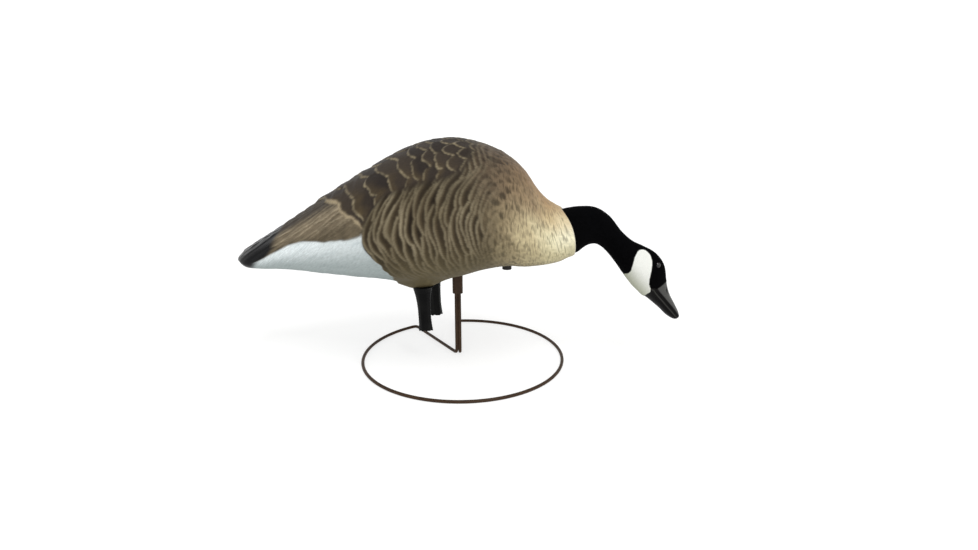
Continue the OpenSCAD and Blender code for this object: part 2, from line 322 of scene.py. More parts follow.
def attribute(tree, name, output):
    """A value stored on the mesh's vertices."""
    return add(tree, "Attribute", {}, output, attribute_name=name)


def noise_node(tree, scale, detail=4.0, rough=0.55, coords=None):
    """Noise from 0 to 1, by the object's coordinates unless others are given."""
    coords = coords or add(tree, "TexCoord", {}, "Object")
    inputs = {"Scale": scale, "Detail": detail, "Roughness": rough, "Vector": coords}
    return add(tree, "TexNoise", inputs, "Fac")


def ranged(tree, value, low, high, to_low, to_high):
    """The value stretched from one range to another and kept inside it."""
    return add(tree, "MapRange", {"Value": value, "From Min": low, "From Max": high, "To Min": to_low,
                                  "To Max": to_high}, "Result")


def scaled(tree, vector, factor):
    """A colour or vector times a number."""
    return add(tree, "VectorMath", {0: vector, "Scale": factor}, operation="SCALE")


def two_tone(tree, factor, a, b):
    """Blend of two fixed colours."""
    return add(tree, "Mix", {0: factor, 6: (*a, 1), 7: (*b, 1)}, 2, data_type="RGBA")


def bump(tree, height, strength, distance):
    """Fine relief for a shader's normal; distance is in metres."""
    return add(tree, "Bump", {"Strength": strength, "Distance": distance, "Height": height}, "Normal")


def new_material(name, describe):
    """A material whose shader gets what describe(tree) returns, by socket."""
    mat = bpy.data.materials.new(name)
    mat.use_nodes = True
    tree = mat.node_tree
    fill(tree, tree.nodes["Principled BSDF"], describe(tree))
    return mat


def plain_material(name, one, other, rough, metal=0.0, scale=900.0, relief=0.25, depth=0.00008, spec=0.5):
    """A material whose colour and roughness wander between two values."""
    def describe(tree):
        grain = noise_node(tree, scale)
        patches = ranged(tree, noise_node(tree, scale / 10, 2.0), 0.35, 0.65, 0.0, 1.0)
        return {"Base Color": two_tone(tree, patches, srgb(*one), srgb(*other)),
                "Roughness": ranged(tree, grain, 0.3, 0.7, rough - 0.07, rough + 0.07),
                "Metallic": metal,
                "Specular IOR Level": spec,
                "Normal": bump(tree, grain, relief, depth)}

    return new_material(name, describe)


def stretched_noise(tree, flow, scale, detail):
    """Noise drawn out along the feathers; scale is in spots a metre along and across."""
    stretch = add(tree, "Mapping", {"Scale": (*scale, 0), "Vector": flow}, "Vector")
    return noise_node(tree, 1.0, detail, 0.6, stretch)


DASH_SPOTS = (330.0, 75.0)
SHINE_POLISH = 0.34


def painted_material(name, barb, vary, rough, depth, spec):
    """Painted moulding: the mesh's colour, broken by fine barbs or short dark dashes.

    The mesh's flow holds the place along and across the feathers in metres, then 0
    for barbs to 1 for dashes.
    """
    def describe(tree):
        flow = attribute(tree, "flow", "Vector")
        barbs = stretched_noise(tree, flow, barb, 3.0)
        dashes = stretched_noise(tree, flow, DASH_SPOTS, 1.0)
        tone = add(tree, "Mix", {0: add(tree, "SeparateXYZ", {0: flow}, "Z"),
                                 2: ranged(tree, barbs, 0.25, 0.75, 1 - vary, 1 + vary),
                                 3: ranged(tree, dashes, 0.5, 0.64, 1.06, 0.55)})
        speckle = noise_node(tree, 750.0, 3.0)
        colour = scaled(tree, attribute(tree, "paint", "Color"), tone)
        polish = ranged(tree, attribute(tree, "shine", "Fac"), 0.0, 1.0, 0.0, -SHINE_POLISH)
        base = ranged(tree, speckle, 0.3, 0.7, rough - 0.06, rough + 0.08)
        return {"Base Color": scaled(tree, colour, ranged(tree, speckle, 0.3, 0.7, 0.9, 1.1)),
                "Roughness": add(tree, "Math", {0: base, 1: polish}),
                "Specular IOR Level": spec,
                "Normal": bump(tree, barbs, 0.5, depth)}

    return new_material(name, describe)


# ---------- body: outline
# Height or half width by place along the body, in millimetres from the post
BACK = [[-320, 161], [-302, 174], [-266, 196], [-210, 232], [-138, 278], [-68, 316], [-8, 329],
        [50, 317], [100, 286], [132, 248], [163, 228]]
BELLY = [[-320, 152], [-304, 143], [-250, 142], [-190, 137], [-120, 132], [-50, 131],
         [4, 136], [40, 146], [72, 150.8], [100, 147.8], [140, 153], [163, 165]]
HALF = [[-320, 17], [-311, 29], [-298, 37], [-250, 52], [-174, 80], [-102, 104], [-30, 115],
        [35, 114], [90, 98], [130, 70], [163, 45]]
TAIL_X, SEAM_X, SEAM_Z, SEAM_TILT = -320.0, 163.0, 196.3, 17.0
LEG_SIDE, LEG_LEFT_X, LEG_RIGHT_X = 34.0, -38.0, -47.0
RIM_BOW, RIM_THICK = 5.0, 2.2
NECK_AXIS = Vector((math.cos(math.radians(SEAM_TILT)), 0, math.sin(math.radians(SEAM_TILT))))
SEAM = POST + Vector((SEAM_X, 0, SEAM_Z)) * MM

# The grid's stretches: from, to and number of stations
STRETCHES = ((TAIL_X, -312, 6), (-312, -200, 42), (-200, -125, 44), (-125, 60, 142), (60, 160, 86))
BREAST_END, END_STATIONS = 160, 6
COLUMNS, BELLY_THINNING = 280, 0.55


def body_point(x, a, inset=0.0):
    """Point of the body's plain outline, in millimetres from the post."""
    top, low = curve(BACK, x) - inset, curve(BELLY, x) + inset
    half = curve(HALF, x) - inset
    mid = low + 0.45 * (top - low)
    power = 2 / 2.25
    c = np.sign(np.cos(a)) * np.abs(np.cos(a)) ** power
    s = np.sign(np.sin(a)) * np.abs(np.sin(a)) ** power
    y = half * c
    z = mid + np.where(s > 0, top - mid, mid - low) * s
    leg_x = np.where(y > 0, LEG_LEFT_X, LEG_RIGHT_X)
    thigh = 15 * np.exp(-((x - leg_x + 4) / 32) ** 2 - ((np.abs(y) - LEG_SIDE) / 17) ** 2)
    z = z - np.where(s < 0, thigh * np.sqrt(np.clip(-s, 0, 1)), 0)
    lean = math.tan(math.radians(SEAM_TILT)) * np.clip((x - 60) / (SEAM_X - 60), 0, None) ** 2
    return np.stack([x - lean * (z - SEAM_Z), y, z], -1)


def body_grid():
    """Stations along the body and angles round it, closest where the feathers show."""
    x = np.concatenate([np.linspace(a, b, n, endpoint=False) for a, b, n in STRETCHES]
                       + [np.linspace(BREAST_END, SEAM_X, END_STATIONS)])
    a = np.linspace(0, TURN, 4001)
    under = ease(math.radians(60), math.radians(25), np.abs(a - 1.5 * math.pi))
    crowd = np.cumsum(1 - BELLY_THINNING * under)
    crowd = (crowd - crowd[0]) / (crowd[-1] - crowd[0])
    turn = np.interp(np.arange(COLUMNS) / COLUMNS, crowd, a)
    turn = np.sort((turn + math.pi / 2) % TURN)
    start = int(np.argmin(np.abs(turn - math.pi / 2)))
    return np.meshgrid(x, np.roll(turn, -start), indexing="ij")


# ---------- body: feathers
def scales(rows, cols, reach, power, length, width, jitter, tilt, seed):
    """Overlapping feather tips on a lattice of rows towards the tail and cols across.

    Each tip is a curve `reach` rows further back at its middle and `tilt` rows
    further back on one side. Returns the distances to the feather's own edge and
    from the one that covers it, in mm, its random number, and the place across it
    from -1 to 1.
    """
    shape = np.broadcast(rows, cols).shape
    edge, born, ident, across = (np.zeros(shape) for _ in range(4))
    found = np.zeros(shape, bool)
    last = np.full(shape, -1e9)
    start = np.floor(rows) - 1
    for step in range(int(np.ceil(np.max(reach + np.abs(tilt)))) + 4):
        k = start + step
        w = cols + 0.5 * (k % 2) + jitter * (hash01(k, 0, seed) - 0.5)
        i = np.floor(w)
        f = 2 * (w - i) - 1
        tip = k + 1 + jitter * (hash01(k, i, seed + 1) - 0.5) - reach * np.abs(f) ** power + tilt * f
        hit = ~found & (rows < tip)
        slant = (reach * power * np.abs(f) ** (power - 1) + np.abs(tilt)) * 2 * length / width
        facing = 1 / np.sqrt(1 + slant**2)
        edge = np.where(hit, (tip - rows) * length * facing, edge)
        born = np.where(hit, (rows - last) * length * facing, born)
        ident = np.where(hit, hash01(k, i, seed + 2), ident)
        across = np.where(hit, f, across)
        found |= hit
        last = np.maximum(last, np.where(found, last, tip))
    return edge, np.clip(born, 0, 99), ident, across


def row_numbers(distance, lengths):
    """Row coordinate for feathers whose length changes along the body."""
    grid = np.linspace(-200, 900, 2201)
    step = 1 / track(lengths, grid)
    total = np.concatenate([[0], np.cumsum((step[1:] + step[:-1]) / 2 * np.diff(grid))])
    return np.interp(distance, grid, total)


def feather_tip(part, power, start, full, edge):
    """Relief from 0 to 1, highest at the tip, with a lip between two distances from the edge."""
    return np.clip(1 - part, 0, 1) ** power * ease(start, full, edge)


class Places:
    """Where each point of the body lies: along (x, u) and round (v) it in mm, and up it."""

    def __init__(self, x, plain):
        top, low = curve(BACK, x), curve(BELLY, x)
        from_tail, girth = run_of(plain, 0), run_of(plain, 1)
        whole = girth[:, -1:] + np.linalg.norm(plain[:, 0] - plain[:, -1], axis=-1)[:, None]
        self.x = x
        self.up = np.clip((plain[..., 2] - low) / (top - low), 0, 1)
        self.u = from_tail[-1:] - from_tail
        self.v = np.where(girth > whole / 2, girth - whole, girth)
        self.side = np.sign(self.v + 1e-9)
        self.wobble = noise(self.u / 14, self.v / 14, 3) - 0.5
        self.fine = noise(self.u / 3.1, self.v / 3.1, 4) - 0.5

    def mottle(self, along, across, seed, low, span):
        """Factor for a colour, in patches of a size in mm, from low to low + span."""
        return (low + span * noise(self.u / along, self.v / across, seed))[..., None]


# By place along the body; feather lengths by distance back from the neck
BACK_LENGTH = [[-200, 8], [70, 8.5], [120, 11], [150, 14], [185, 18], [240, 21], [320, 26], [420, 32]]
BACK_WIDTH = [[-320, 46.0], [-60, 46.0], [30, 24.0]]
BACK_LEAN = [[-320, 0.6], [-140, 0.52], [-80, 0.47], [-50, 0.34], [-25, 0.16], [20, 0.1], [60, 0]]
BACK_REACH = [[-320, 2.5], [-150, 3.5], [-100, 5.5], [-50, 9], [0, 10], [40, 7]]
BACK_RISE = [[-320, 1.7], [-100, 1.8], [0, 1.5], [60, 0.8]]
BACK_BAND = [[-320, 1.5], [-100, 1.3], [20, 1.1], [80, 1.0]]


def back_feathers(p):
    """Dark overlapping scales with pale edges; the rows lean forward down the sides, with painted shadow
    where each scale comes out from under the one above.
    """
    u = p.u + track(BACK_LEAN, p.x) * np.abs(p.v) + 7 * p.wobble + 1.2 * p.fine
    length, width = track(BACK_LENGTH, u), track(BACK_WIDTH, p.x)
    reach = track(BACK_REACH, p.x) / length
    edge, born, ident, across = scales(row_numbers(u, BACK_LENGTH), p.v / width + 0.25, reach, 2.0, length,
                                       width, 0.42, -0.22 * reach * p.side, 11)
    height = track(BACK_RISE, p.x) * feather_tip(edge / length, 1.3, -0.2, 2.0, edge)
    dark = tint(srgb(38, 32, 28), srgb(56, 48, 40), ident)
    brown = ease(0.75, 0.1, edge / length) * (0.35 + 0.55 * noise(p.u / 11, p.v / 11, 7))
    colour = tint(dark, srgb(77, 65, 45), brown * ease(0.98, 0.75, p.up))
    pale = srgb(154, 141, 113) * p.mottle(9, 9, 5, 0.8, 0.35)
    band = track(BACK_BAND, p.x) * (0.5 + 1.0 * noise(p.u / 7, p.v / 7, 6))
    one_side = 0.25 + 0.75 * ease(1.05, 0.7, -across * p.side)
    colour = tint(colour, pale, ease(band + 1.1, band - 0.5, edge) * 0.85 * one_side)
    # painted shadow: darker where each scale comes out from under the one above
    return height, tint(colour, srgb(26, 21, 18), ease(3.2, 0.0, born) * 0.75)


PRIMARY_WIDTH, PRIMARY_LENGTH = 7.5, 95.0


def primaries(p):
    """Long narrow feathers laid along the rump, with painted shadow where each comes out from under the
    one over it.
    """
    v = np.abs(p.v) + 0.08 * (p.u - 300) + 3 * p.wobble
    cols = p.u / PRIMARY_LENGTH + hash01(np.floor(v / PRIMARY_WIDTH), 3, 9)
    edge, born, ident, _ = scales(v / PRIMARY_WIDTH, cols, 0.35, 2.0, PRIMARY_WIDTH, PRIMARY_LENGTH, 0.3,
                                  0.0, 21)
    height = 0.9 * feather_tip(edge / PRIMARY_WIDTH, 1.3, -0.1, 1.4, edge)
    colour = tint(srgb(98, 87, 70), srgb(126, 114, 94), ident)
    colour = coated(colour, ((156, 144, 120), ease(2.3, 0.8, edge) * 0.7),
                    # painted shadow where each feather comes out from under the one over it
                    ((62, 53, 42), ease(2.4, 0.2, born) * 0.7),
                    ((70, 61, 45), ease(0.74, 0.56, p.up) * 0.65))
    colour = colour * p.mottle(6, 4.5, 23, 0.74, 0.52)
    return height, coated(colour, ((46, 41, 38), ease(0.80, 0.93, p.up) * 0.85))


# The rows run straight up at the middle level and bow towards the tail above and below
FLANK_MIDDLE, FLANK_WIDTH = 0.48, 66.0
FLANK_ABOVE = [[-130, 40], [-60, 24], [20, 18], [90, 18]]
FLANK_BELOW = [[-130, 62], [-60, 42], [0, 28], [50, 8], [90, -14], [163, -10]]
FLANK_LENGTH = [[-200, 4.2], [90, 4.6], [108, 5.2], [143, 6.2], [180, 7.6], [230, 8.4], [300, 8.2]]
FLANK_RISE = [[-130, 1.5], [-40, 1.5], [20, 1.2], [60, 0.8], [100, 0.45], [163, 0.25]]
FLANK_PALE = [[-130, 0.46], [-50, 0.36], [10, 0.3], [60, 0.3]]


def flank_rows(p):
    """Distance back from the neck along the bowed and wavering rows of the flank."""
    above = track(FLANK_ABOVE, p.x) * (np.clip(p.up - FLANK_MIDDLE, 0, 0.36) / 0.3) ** 2
    below = track(FLANK_BELOW, p.x) * (np.clip(FLANK_MIDDLE - p.up, 0, 1) / 0.45) ** 1.6
    waver = 8 * (noise(p.u / 26, p.v / 32, 31) - 0.5) + 2.6 * (noise(p.u / 9, p.v / 17, 32) - 0.5)
    return SEAM_X - p.x + above + below + waver


def flank_ridges(p):
    """Long shallow ridges that bow towards the tail, with painted shadow behind each ridge and painted
    shade under the wing.
    """
    back = flank_rows(p)
    length = track(FLANK_LENGTH, back)
    edge, born, ident, _ = scales(row_numbers(back, FLANK_LENGTH), p.v / FLANK_WIDTH, 4.6 / length, 2.2,
                                  length, FLANK_WIDTH, 0.6, 0.0, 41)
    part = edge / length
    above_belly = ease(0.02, 0.16, p.up)
    hair = ease(0.5, 0.85, noise(back / 1.9, p.v / 14, 36))
    height = track(FLANK_RISE, p.x) * above_belly * feather_tip(part, 1.1, -0.2, 2.4, edge)
    height = height - 0.25 * hair * above_belly

    pale = tint(srgb(144, 133, 109), srgb(108, 98, 77), noise(p.u / 16, p.v / 40, 33))
    ground = tint(srgb(78, 67, 49), srgb(58, 48, 32), noise(p.u / 12, p.v / 30, 35))
    wide = track(FLANK_PALE, p.x)
    colour = tint(pale, ground, ease(wide - 0.16, wide + 0.16, part))
    # painted shadow: darker towards where each ridge comes out from under the one in front, and just
    # behind its edge
    colour = coated(colour, ((30, 22, 12), ease(0.58, 0.84, part) * (0.55 + 0.45 * ident)),
                    ((38, 30, 19), ease(2.0, 0.2, born) * 0.4))
    # painted shade on the upper flank under the wing, towards the rear
    under_wing_shade = 0.3 * ease(0.58, 0.8, p.up) * ease(40, -20, p.x)
    colour = colour * ((1 - 0.16 * hair) * (1 - under_wing_shade))[..., None]
    olive = srgb(84, 75, 52) * p.mottle(5, 5, 34, 0.86, 0.28)
    return height, tint(colour, olive, ease(0.44, 0.03, p.up))


# A row of colours for each place along, a column for each level
BREAST_X = [30, 70, 105, 135, 163]
BREAST_LEVEL = [0, 0.2, 0.5, 0.8, 1.0]
BREAST_COLOUR = [
    [(78, 69, 48), (100, 89, 67), (100, 88, 68), (88, 75, 60), (80, 69, 60)],
    [(94, 85, 60), (144, 131, 101), (142, 127, 98), (106, 90, 70), (92, 78, 62)],
    [(112, 103, 74), (168, 156, 122), (192, 178, 142), (136, 117, 90), (124, 101, 74)],
    [(134, 125, 93), (184, 174, 138), (212, 204, 170), (186, 166, 128), (158, 130, 94)],
    [(150, 142, 108), (194, 187, 153), (220, 214, 186), (208, 194, 160), (188, 166, 130)]]
BREAST_LENGTH, BREAST_WIDTH = [[-200, 4.2], [30, 4.4], [60, 5.4], [90, 7.2], [150, 8.6], [900, 9]], 16.0
BREAST_RISE = [[0, 1.1], [60, 1.0], [110, 0.8], [163, 0.5]]
BREAST_STRENGTH = [[0, 1.1], [60, 1.1], [100, 0.45], [163, 0.2]]


def breast_colour(x, level):
    """Soft change from brown shoulder to cream breast and olive belly."""
    grid = np.array([[srgb(*c) for c in row] for row in BREAST_COLOUR])

    def at_level(k):
        return np.stack([np.interp(x, BREAST_X, grid[:, k, c]) for c in range(3)], -1)

    colour = at_level(0)
    for k in range(1, len(BREAST_LEVEL)):
        colour = tint(colour, at_level(k), ease(BREAST_LEVEL[k - 1], BREAST_LEVEL[k], level))
    return colour


def breast_feathers(p):
    """Small close feathers that turn into fine strokes towards the neck."""
    lean = 42 * (p.up - 0.6) * ease(30, 70, p.x) * ease(163, 140, p.x)
    back = SEAM_X - p.x + lean + 8 * p.wobble + 2.2 * (noise(p.u / 5, p.v / 8, 53) - 0.5)
    length = track(BREAST_LENGTH, back)
    edge, _, ident, _ = scales(row_numbers(back, BREAST_LENGTH), p.v / BREAST_WIDTH, 4.6 / length, 1.8,
                               length, BREAST_WIDTH, 0.7, 0.0, 51)
    part = edge / length
    rise = track(BREAST_RISE, p.x) * ease(0.0, 0.1, p.up)
    height = rise * feather_tip(part, 1, -0.2, 1.6, edge) * (0.5 + ident)
    strength = track(BREAST_STRENGTH, p.x) * (0.5 + 0.8 * noise(p.u / 6, p.v / 10, 54))
    strength = strength * (1 + 0.6 * ease(0.2, 0.02, p.up) * ease(40, 70, p.x))
    darker = 1 - np.clip(0.5 * strength * ease(0.42, 0.9, part), 0, 0.7)
    lighter = 1 + 0.2 * strength * ease(0.5, 0.1, part)
    return height, breast_colour(p.x + 14 * p.wobble, p.up) * (darker * lighter)[..., None]


def under_tail(p):
    """White feathers with shallow ripples, with painted shade along the ripples and towards the underside.
    """
    ripple = noise(p.u / 17, (p.v + 0.22 * p.side * p.u) / 3.0 + 1.2 * p.wobble, 61)
    # painted shade: grey along the ripples
    grey = ease(0.55, 0.85, ripple) * 0.45
    # painted shade: the white greys further towards the underside
    return 0.9 * (ripple - 0.5), coated(srgb(220, 227, 228), ((180, 191, 193), grey),
                                        ((138, 148, 147), ease(0.6, 0.16, p.up) * 0.9),
                                        ((110, 120, 120), ease(0.18, 0.0, p.up) * 0.7))


TAIL_FEATHER_WIDTH, TAIL_FEATHER_LENGTH, TAIL_SHINE = 12.0, 80.0, 0.95


def tail_feathers(p):
    """Glossy black tail with its own long feathers."""
    edge, _, _, _ = scales(np.abs(p.v) / TAIL_FEATHER_WIDTH, p.u / TAIL_FEATHER_LENGTH, 0.4, 2.0,
                           TAIL_FEATHER_WIDTH, TAIL_FEATHER_LENGTH, 0.3, 0.0, 71)
    height = 0.9 * feather_tip(edge / TAIL_FEATHER_WIDTH, 1.3, -0.1, 1.6, edge)
    return height * ease(0.25, 0.5, p.up), srgb(11, 11, 13) + np.zeros(p.x.shape + (3,))


# Borders between kinds of feather: level by place along, then place along by level
WING_LINE = [[-320, 0.3], [-284, 0.41], [-260, 0.53], [-231, 0.60], [-208, 0.60], [-175, 0.52],
             [-142, 0.49], [-121, 0.50], [-115, 0.59], [-106, 0.69], [-87, 0.75], [-58, 0.76],
             [-28, 0.775], [-5, 0.80], [15, 0.84], [27, 0.93], [34, 1.05], [163, 1.3]]
FLANK_REAR = [[0, -83], [0.12, -87], [0.23, -97], [0.31, -108], [0.37, -116], [0.48, -121], [1, -121]]
TAIL_EDGE = [[0, -299], [0.13, -292], [0.41, -283], [0.53, -262], [0.66, -254], [0.92, -250], [1, -246]]
BAR_X, BAR_SLANT = -204, 0.66


def upper_side(p):
    """Back scales that end in a pale bar, and the primaries behind it."""
    back_h, back_c = back_feathers(p)
    prim_h, prim_c = primaries(p)
    bar = BAR_X + BAR_SLANT * np.abs(p.v) + 8 * p.wobble + 2 * p.fine
    on_prim = ease(bar + 0.8, bar - 0.8, p.x)
    step = 1.5 * ease(14, 0, p.x - bar) * (1 - on_prim)
    on_bar = ease(2.8, 0.9, np.abs(p.x - bar)) * ease(0.5, 0.62, p.up) * ease(0.97, 0.9, p.up)
    colour = tint(tint(back_c, prim_c, on_prim), srgb(172, 156, 126), on_bar * 0.8)
    return mix(back_h, prim_h, on_prim) + step, colour


def lower_side(p):
    """Flank ridges that turn into the breast's small feathers."""
    flank_h, flank_c = flank_ridges(p)
    breast_h, breast_c = breast_feathers(p)
    front = ease(14, 84, p.x + 30 * (p.up - 0.55) + 10 * p.wobble)
    return mix(flank_h, breast_h, front), tint(flank_c, breast_c, front)


def near_rim(p):
    """1 at the rim round the neck and 0 further back."""
    return ease(9, 4, SEAM_X - p.x)


def trimmed(p, height):
    """Relief lower under the breast, notched along the rump, tapered to the tail and rim."""
    height = height - 1.5 * ease(60, 100, p.x) * ease(163, 148, p.x) * ease(0.3, 0.05, p.up)
    saw = (p.u / 19.0 + 0.3 * noise(p.u / 40, 0 * p.v, 81)) % 1
    height = height + 1.8 * saw * ease(-110, -150, p.x) * ease(0.86, 0.97, p.up)
    height = height * ease(0, 6, p.x - TAIL_X)
    return mix(height, 0.9 - 1.6 * ease(1.8, 0.0, SEAM_X - p.x), near_rim(p))


def body_fields(p):
    """Relief height in mm, colour, shine and strength of the dashes at each point of the body."""
    back_h, back_c = upper_side(p)
    under_h, under_c = lower_side(p)
    white_h, white_c = under_tail(p)
    tail_h, tail_c = tail_feathers(p)

    wing = track(WING_LINE, p.x) + 0.014 * p.wobble
    on_wing = ease(-0.006, 0.008, p.up - wing)
    rear = track(FLANK_REAR, p.up) + 4 * p.wobble + 1.5 * p.fine
    on_flank = ease(-1.0, 1.0, p.x - rear)
    on_tail = ease(3, -9, p.x - track(TAIL_EDGE, p.up) - 4 * p.wobble)
    shoulder = ease(16, 56, p.x + 16 * p.wobble)

    low_h = mix(white_h, under_h + 2.0 * ease(60, 0, p.x - rear) + 0.4, on_flank)
    overhang = 2.0 * ease(0.12, 0.0, p.up - wing) * ease(-108, -116, p.x)
    height = mix(low_h, mix(back_h + 0.2 + overhang, under_h, shoulder), on_wing)
    height = trimmed(p, mix(height, tail_h, on_tail))

    colour = tint(white_c, under_c * (1 - 0.14 * ease(40, 0, p.x - rear))[..., None], on_flank)
    colour = tint(colour, tint(back_c, under_c, shoulder), on_wing)
    # painted shadow: a dark line along the border of the wing and the flank
    wing_line_shade = ease(0.035, 0.0, np.abs(p.up - wing)) * ease(-120, -112, p.x) * (1 - shoulder)
    colour = tint(colour, srgb(40, 33, 27), wing_line_shade * 0.6)
    colour = tint(colour, tail_c, on_tail)
    colour = tint(colour, srgb(196, 190, 176), ease(2.2, 1.0, SEAM_X - p.x) * 0.7)

    fade = track([[0, 0.7], [0.75, 1.0], [1.0, 0.45]], p.up) * (1 - near_rim(p))
    dash = ease(36, 84, p.x + 20 * (p.up - 0.5) + 10 * p.wobble) * fade
    return height, colour, on_tail * TAIL_SHINE, dash


def soften(field):
    """Takes the stair steps off edges that cross the grid at a slant."""
    ahead = np.concatenate([field[1:], field[-1:]])
    behind = np.concatenate([field[:1], field[:-1]])
    field = (2 * field + ahead + behind) / 4
    return (6 * field + np.roll(field, 1, axis=1) + np.roll(field, -1, axis=1)) / 8


# ---------- body: shell
# Openings, in metres
BELLY_HOLE, SOCKET_HOLE, NECK_HOLE, PLUG_HOLE = 0.023, 0.007, 0.028, 0.024
GROMMET_LIP, BOSS_WIDER, LEG_GAP = 0.0025, 0.003, 0.0003
BELOW_BELLY, ABOVE_BELLY, LEG_TOP, SOCKET_TOP = 0.09, 0.15, 0.122, 0.1545
# The skin's distance from the frame's outline and the start of the rim's bow, in mm
STAND_OFF, BOW_START = 0.3, 146


def grommet_boss():
    """Flat boss round the belly opening, where the grommet seats."""
    low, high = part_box("belly_grommet")
    middle, lip = node_middle("belly_grommet")
    return upright("boss", middle, low.z + GROMMET_LIP, high.z, lip + BOSS_WIDER)


def body_openings():
    """Cutters that carry the frame's openings through the outer skin."""
    low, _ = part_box("belly_grommet")
    middle, lip = node_middle("belly_grommet")
    tools = [upright("belly_cut", middle, BELOW_BELLY, ABOVE_BELLY, BELLY_HOLE),
             upright("lip_cut", middle, BELOW_BELLY, low.z + GROMMET_LIP, lip)]
    for node in ("leg_left", "leg_right"):
        middle, radius = node_middle(node)
        tools.append(upright(node + "_cut", middle, BELOW_BELLY, LEG_TOP, radius + LEG_GAP))
    middle, _ = node_middle("stake_socket")
    tools.append(upright("socket_cut", middle, BELOW_BELLY, SOCKET_TOP, SOCKET_HOLE))
    tools.append(cylinder("neck_cut", SEAM - NECK_AXIS * 0.003, SEAM + NECK_AXIS * 0.02, NECK_HOLE))
    return tools


def body_skin(x, a, plain, height):
    """The outline raised by the relief, with a rim that bows forward."""
    axis = np.array(NECK_AXIS)
    normals = surface_normals(plain)
    outer = plain + normals * (height + STAND_OFF)[..., None]
    bow = RIM_BOW * np.cos(a) ** 2 * (1 + 0.9 * np.sin(a))
    outer = outer + axis * (bow * ease(BOW_START, SEAM_X, x))[..., None]
    flat = normals[-1] - axis * (normals[-1] @ axis)[:, None]
    lip = outer[-1] - flat * RIM_THICK
    seat = lip - axis * bow[-1][:, None]
    return to_metres(np.concatenate([outer, lip[None], seat[None]]))


def build_body():
    """Feathered body, hollowed like the frame's shell."""
    x, a = body_grid()
    plain = body_point(x, a)
    places = Places(x, plain)
    height, colour, shine, dash = body_fields(places)
    outer = body_skin(x, a, plain, soften(height))
    body = skin("feathered_body", outer)

    inside = body_point(*round_grid(np.linspace(TAIL_X + 2, SEAM_X - 1.2, 90), 96), 1.0)
    hollow = skin("hollow", to_metres(inside))
    carve(hollow, copy_of("body_shell", "shell_copy"))
    carve(body, grommet_boss(), "UNION")
    carve(body, hollow)
    for tool in body_openings():
        carve(body, tool)

    flow = np.stack([places.u * MM, places.v * MM, dash], -1)
    fields = (soften(colour), shine, flow)
    colour, shine, flow = (np.concatenate([f, f[-1:], f[-1:]]) for f in fields)
    dress(body, outer, colour, shine, flow, srgb(46, 42, 38), 0.6 * MM)
    paint_with(body, painted_material("feather_paint", (190.0, 650.0), 0.24, 0.62, 0.00035, 0.12))
    shade(body, 75)
    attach(body, "decoy")
    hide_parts("body_shell")


# ---------- head and neck
# Stations down the neck and head: x, z, slope in degrees, half height and half width
HEAD = [[163.4, 196.3, 17, 33.2, 42], [180, 200.5, 5, 32, 36], [198, 203, -9, 28.5, 29.5],
        [214, 197, -22, 23.5, 24], [230, 182, -36, 18.6, 19.5], [246, 166, -38, 20, 19.5],
        [262, 152, -34, 25.5, 21.5], [277, 139, -34, 29.5, 22.5], [290, 124.5, -36, 28, 20],
        [299, 106, -42, 20, 14.5], [309.5, 90, -42, 14.5, 12], [320.5, 76, -42, 11, 11.5],
        [330, 65, -45, 6, 8.5], [333, 61.5, -45, 2.5, 4.5]]
HEAD_END = len(HEAD) - 1.0
EYE_X, EYE_Y, EYE_Z, EYE_R = 294.0, 12.5, 147.4, 5.5
# Borders: station by the angle up the side of the head
PATCH_FRONT = [[-90, 8.5], [-45, 8.4], [-29, 8.42], [-22, 8.2], [-19, 7.85], [-7, 7.55], [15, 7.22],
               [36, 6.91], [48, 6.64], [54, 6.47], [58, 6.3], [61, 6.12]]
PATCH_REAR = [[-90, 5.95], [-60, 5.98], [-46, 6.06], [-32, 6.05], [-9, 5.83], [15, 5.62], [38, 5.59],
              [47, 5.66], [53, 5.76], [58, 5.92], [61, 6.08]]
BILL_BASE = [[-90, 8.55], [-45, 8.45], [-29, 8.43], [-17, 8.26], [1, 8.66], [16, 8.76], [37, 8.84],
             [60, 8.95], [90, 9.1]]
# Angle by station: the mouth, and the lower edge of the pale band over it
MOUTH = [[8.26, -17], [8.6, -8], [9.8, 3], [11.4, 14], [13, 20]]
UPPER_BAND = [[8.6, 2], [9.8, 17], [11.4, 36], [12.4, 52], [13, 60]]


def head_line(t):
    """The columns of HEAD, smoothly between its stations."""
    return [curve([[i, row[k]] for i, row in enumerate(HEAD)], t) for k in range(5)]


def head_point(t, a, inset=0.0):
    """Point of the neck and head's plain outline, in millimetres from the post."""
    x, z, slope, high, wide = head_line(t)
    slope = np.radians(slope)
    h = (high - inset) * np.sin(a)
    return np.stack([x - h * np.sin(slope), (wide - inset) * np.cos(a), z + h * np.cos(slope)], -1)


class HeadPlaces:
    """Where each point of the neck and head lies, and what it is near."""

    def __init__(self, t, a, plain):
        self.t = t
        self.x, y, z = plain[..., 0], plain[..., 1], plain[..., 2]
        self.up = np.degrees(np.arctan2(np.sin(a), np.abs(np.cos(a))))
        self.grain = noise(self.x / 2.2, z / 2.2, 91) - 0.5
        self.bill = ease(-0.03, 0.03, t - track(BILL_BASE, self.up))
        high, wide = head_line(t)[3:]
        self.over_mouth = (self.up - track(MOUTH, t)) * math.pi / 180 * (high + wide) / 2
        self.nostril = np.exp(-((t - 9.5) / 0.22) ** 2 - ((self.up - 52) / 11) ** 2)
        self.from_eye = np.sqrt((self.x - EYE_X) ** 2 + (z - EYE_Z) ** 2 + (np.abs(y) - EYE_Y) ** 2)


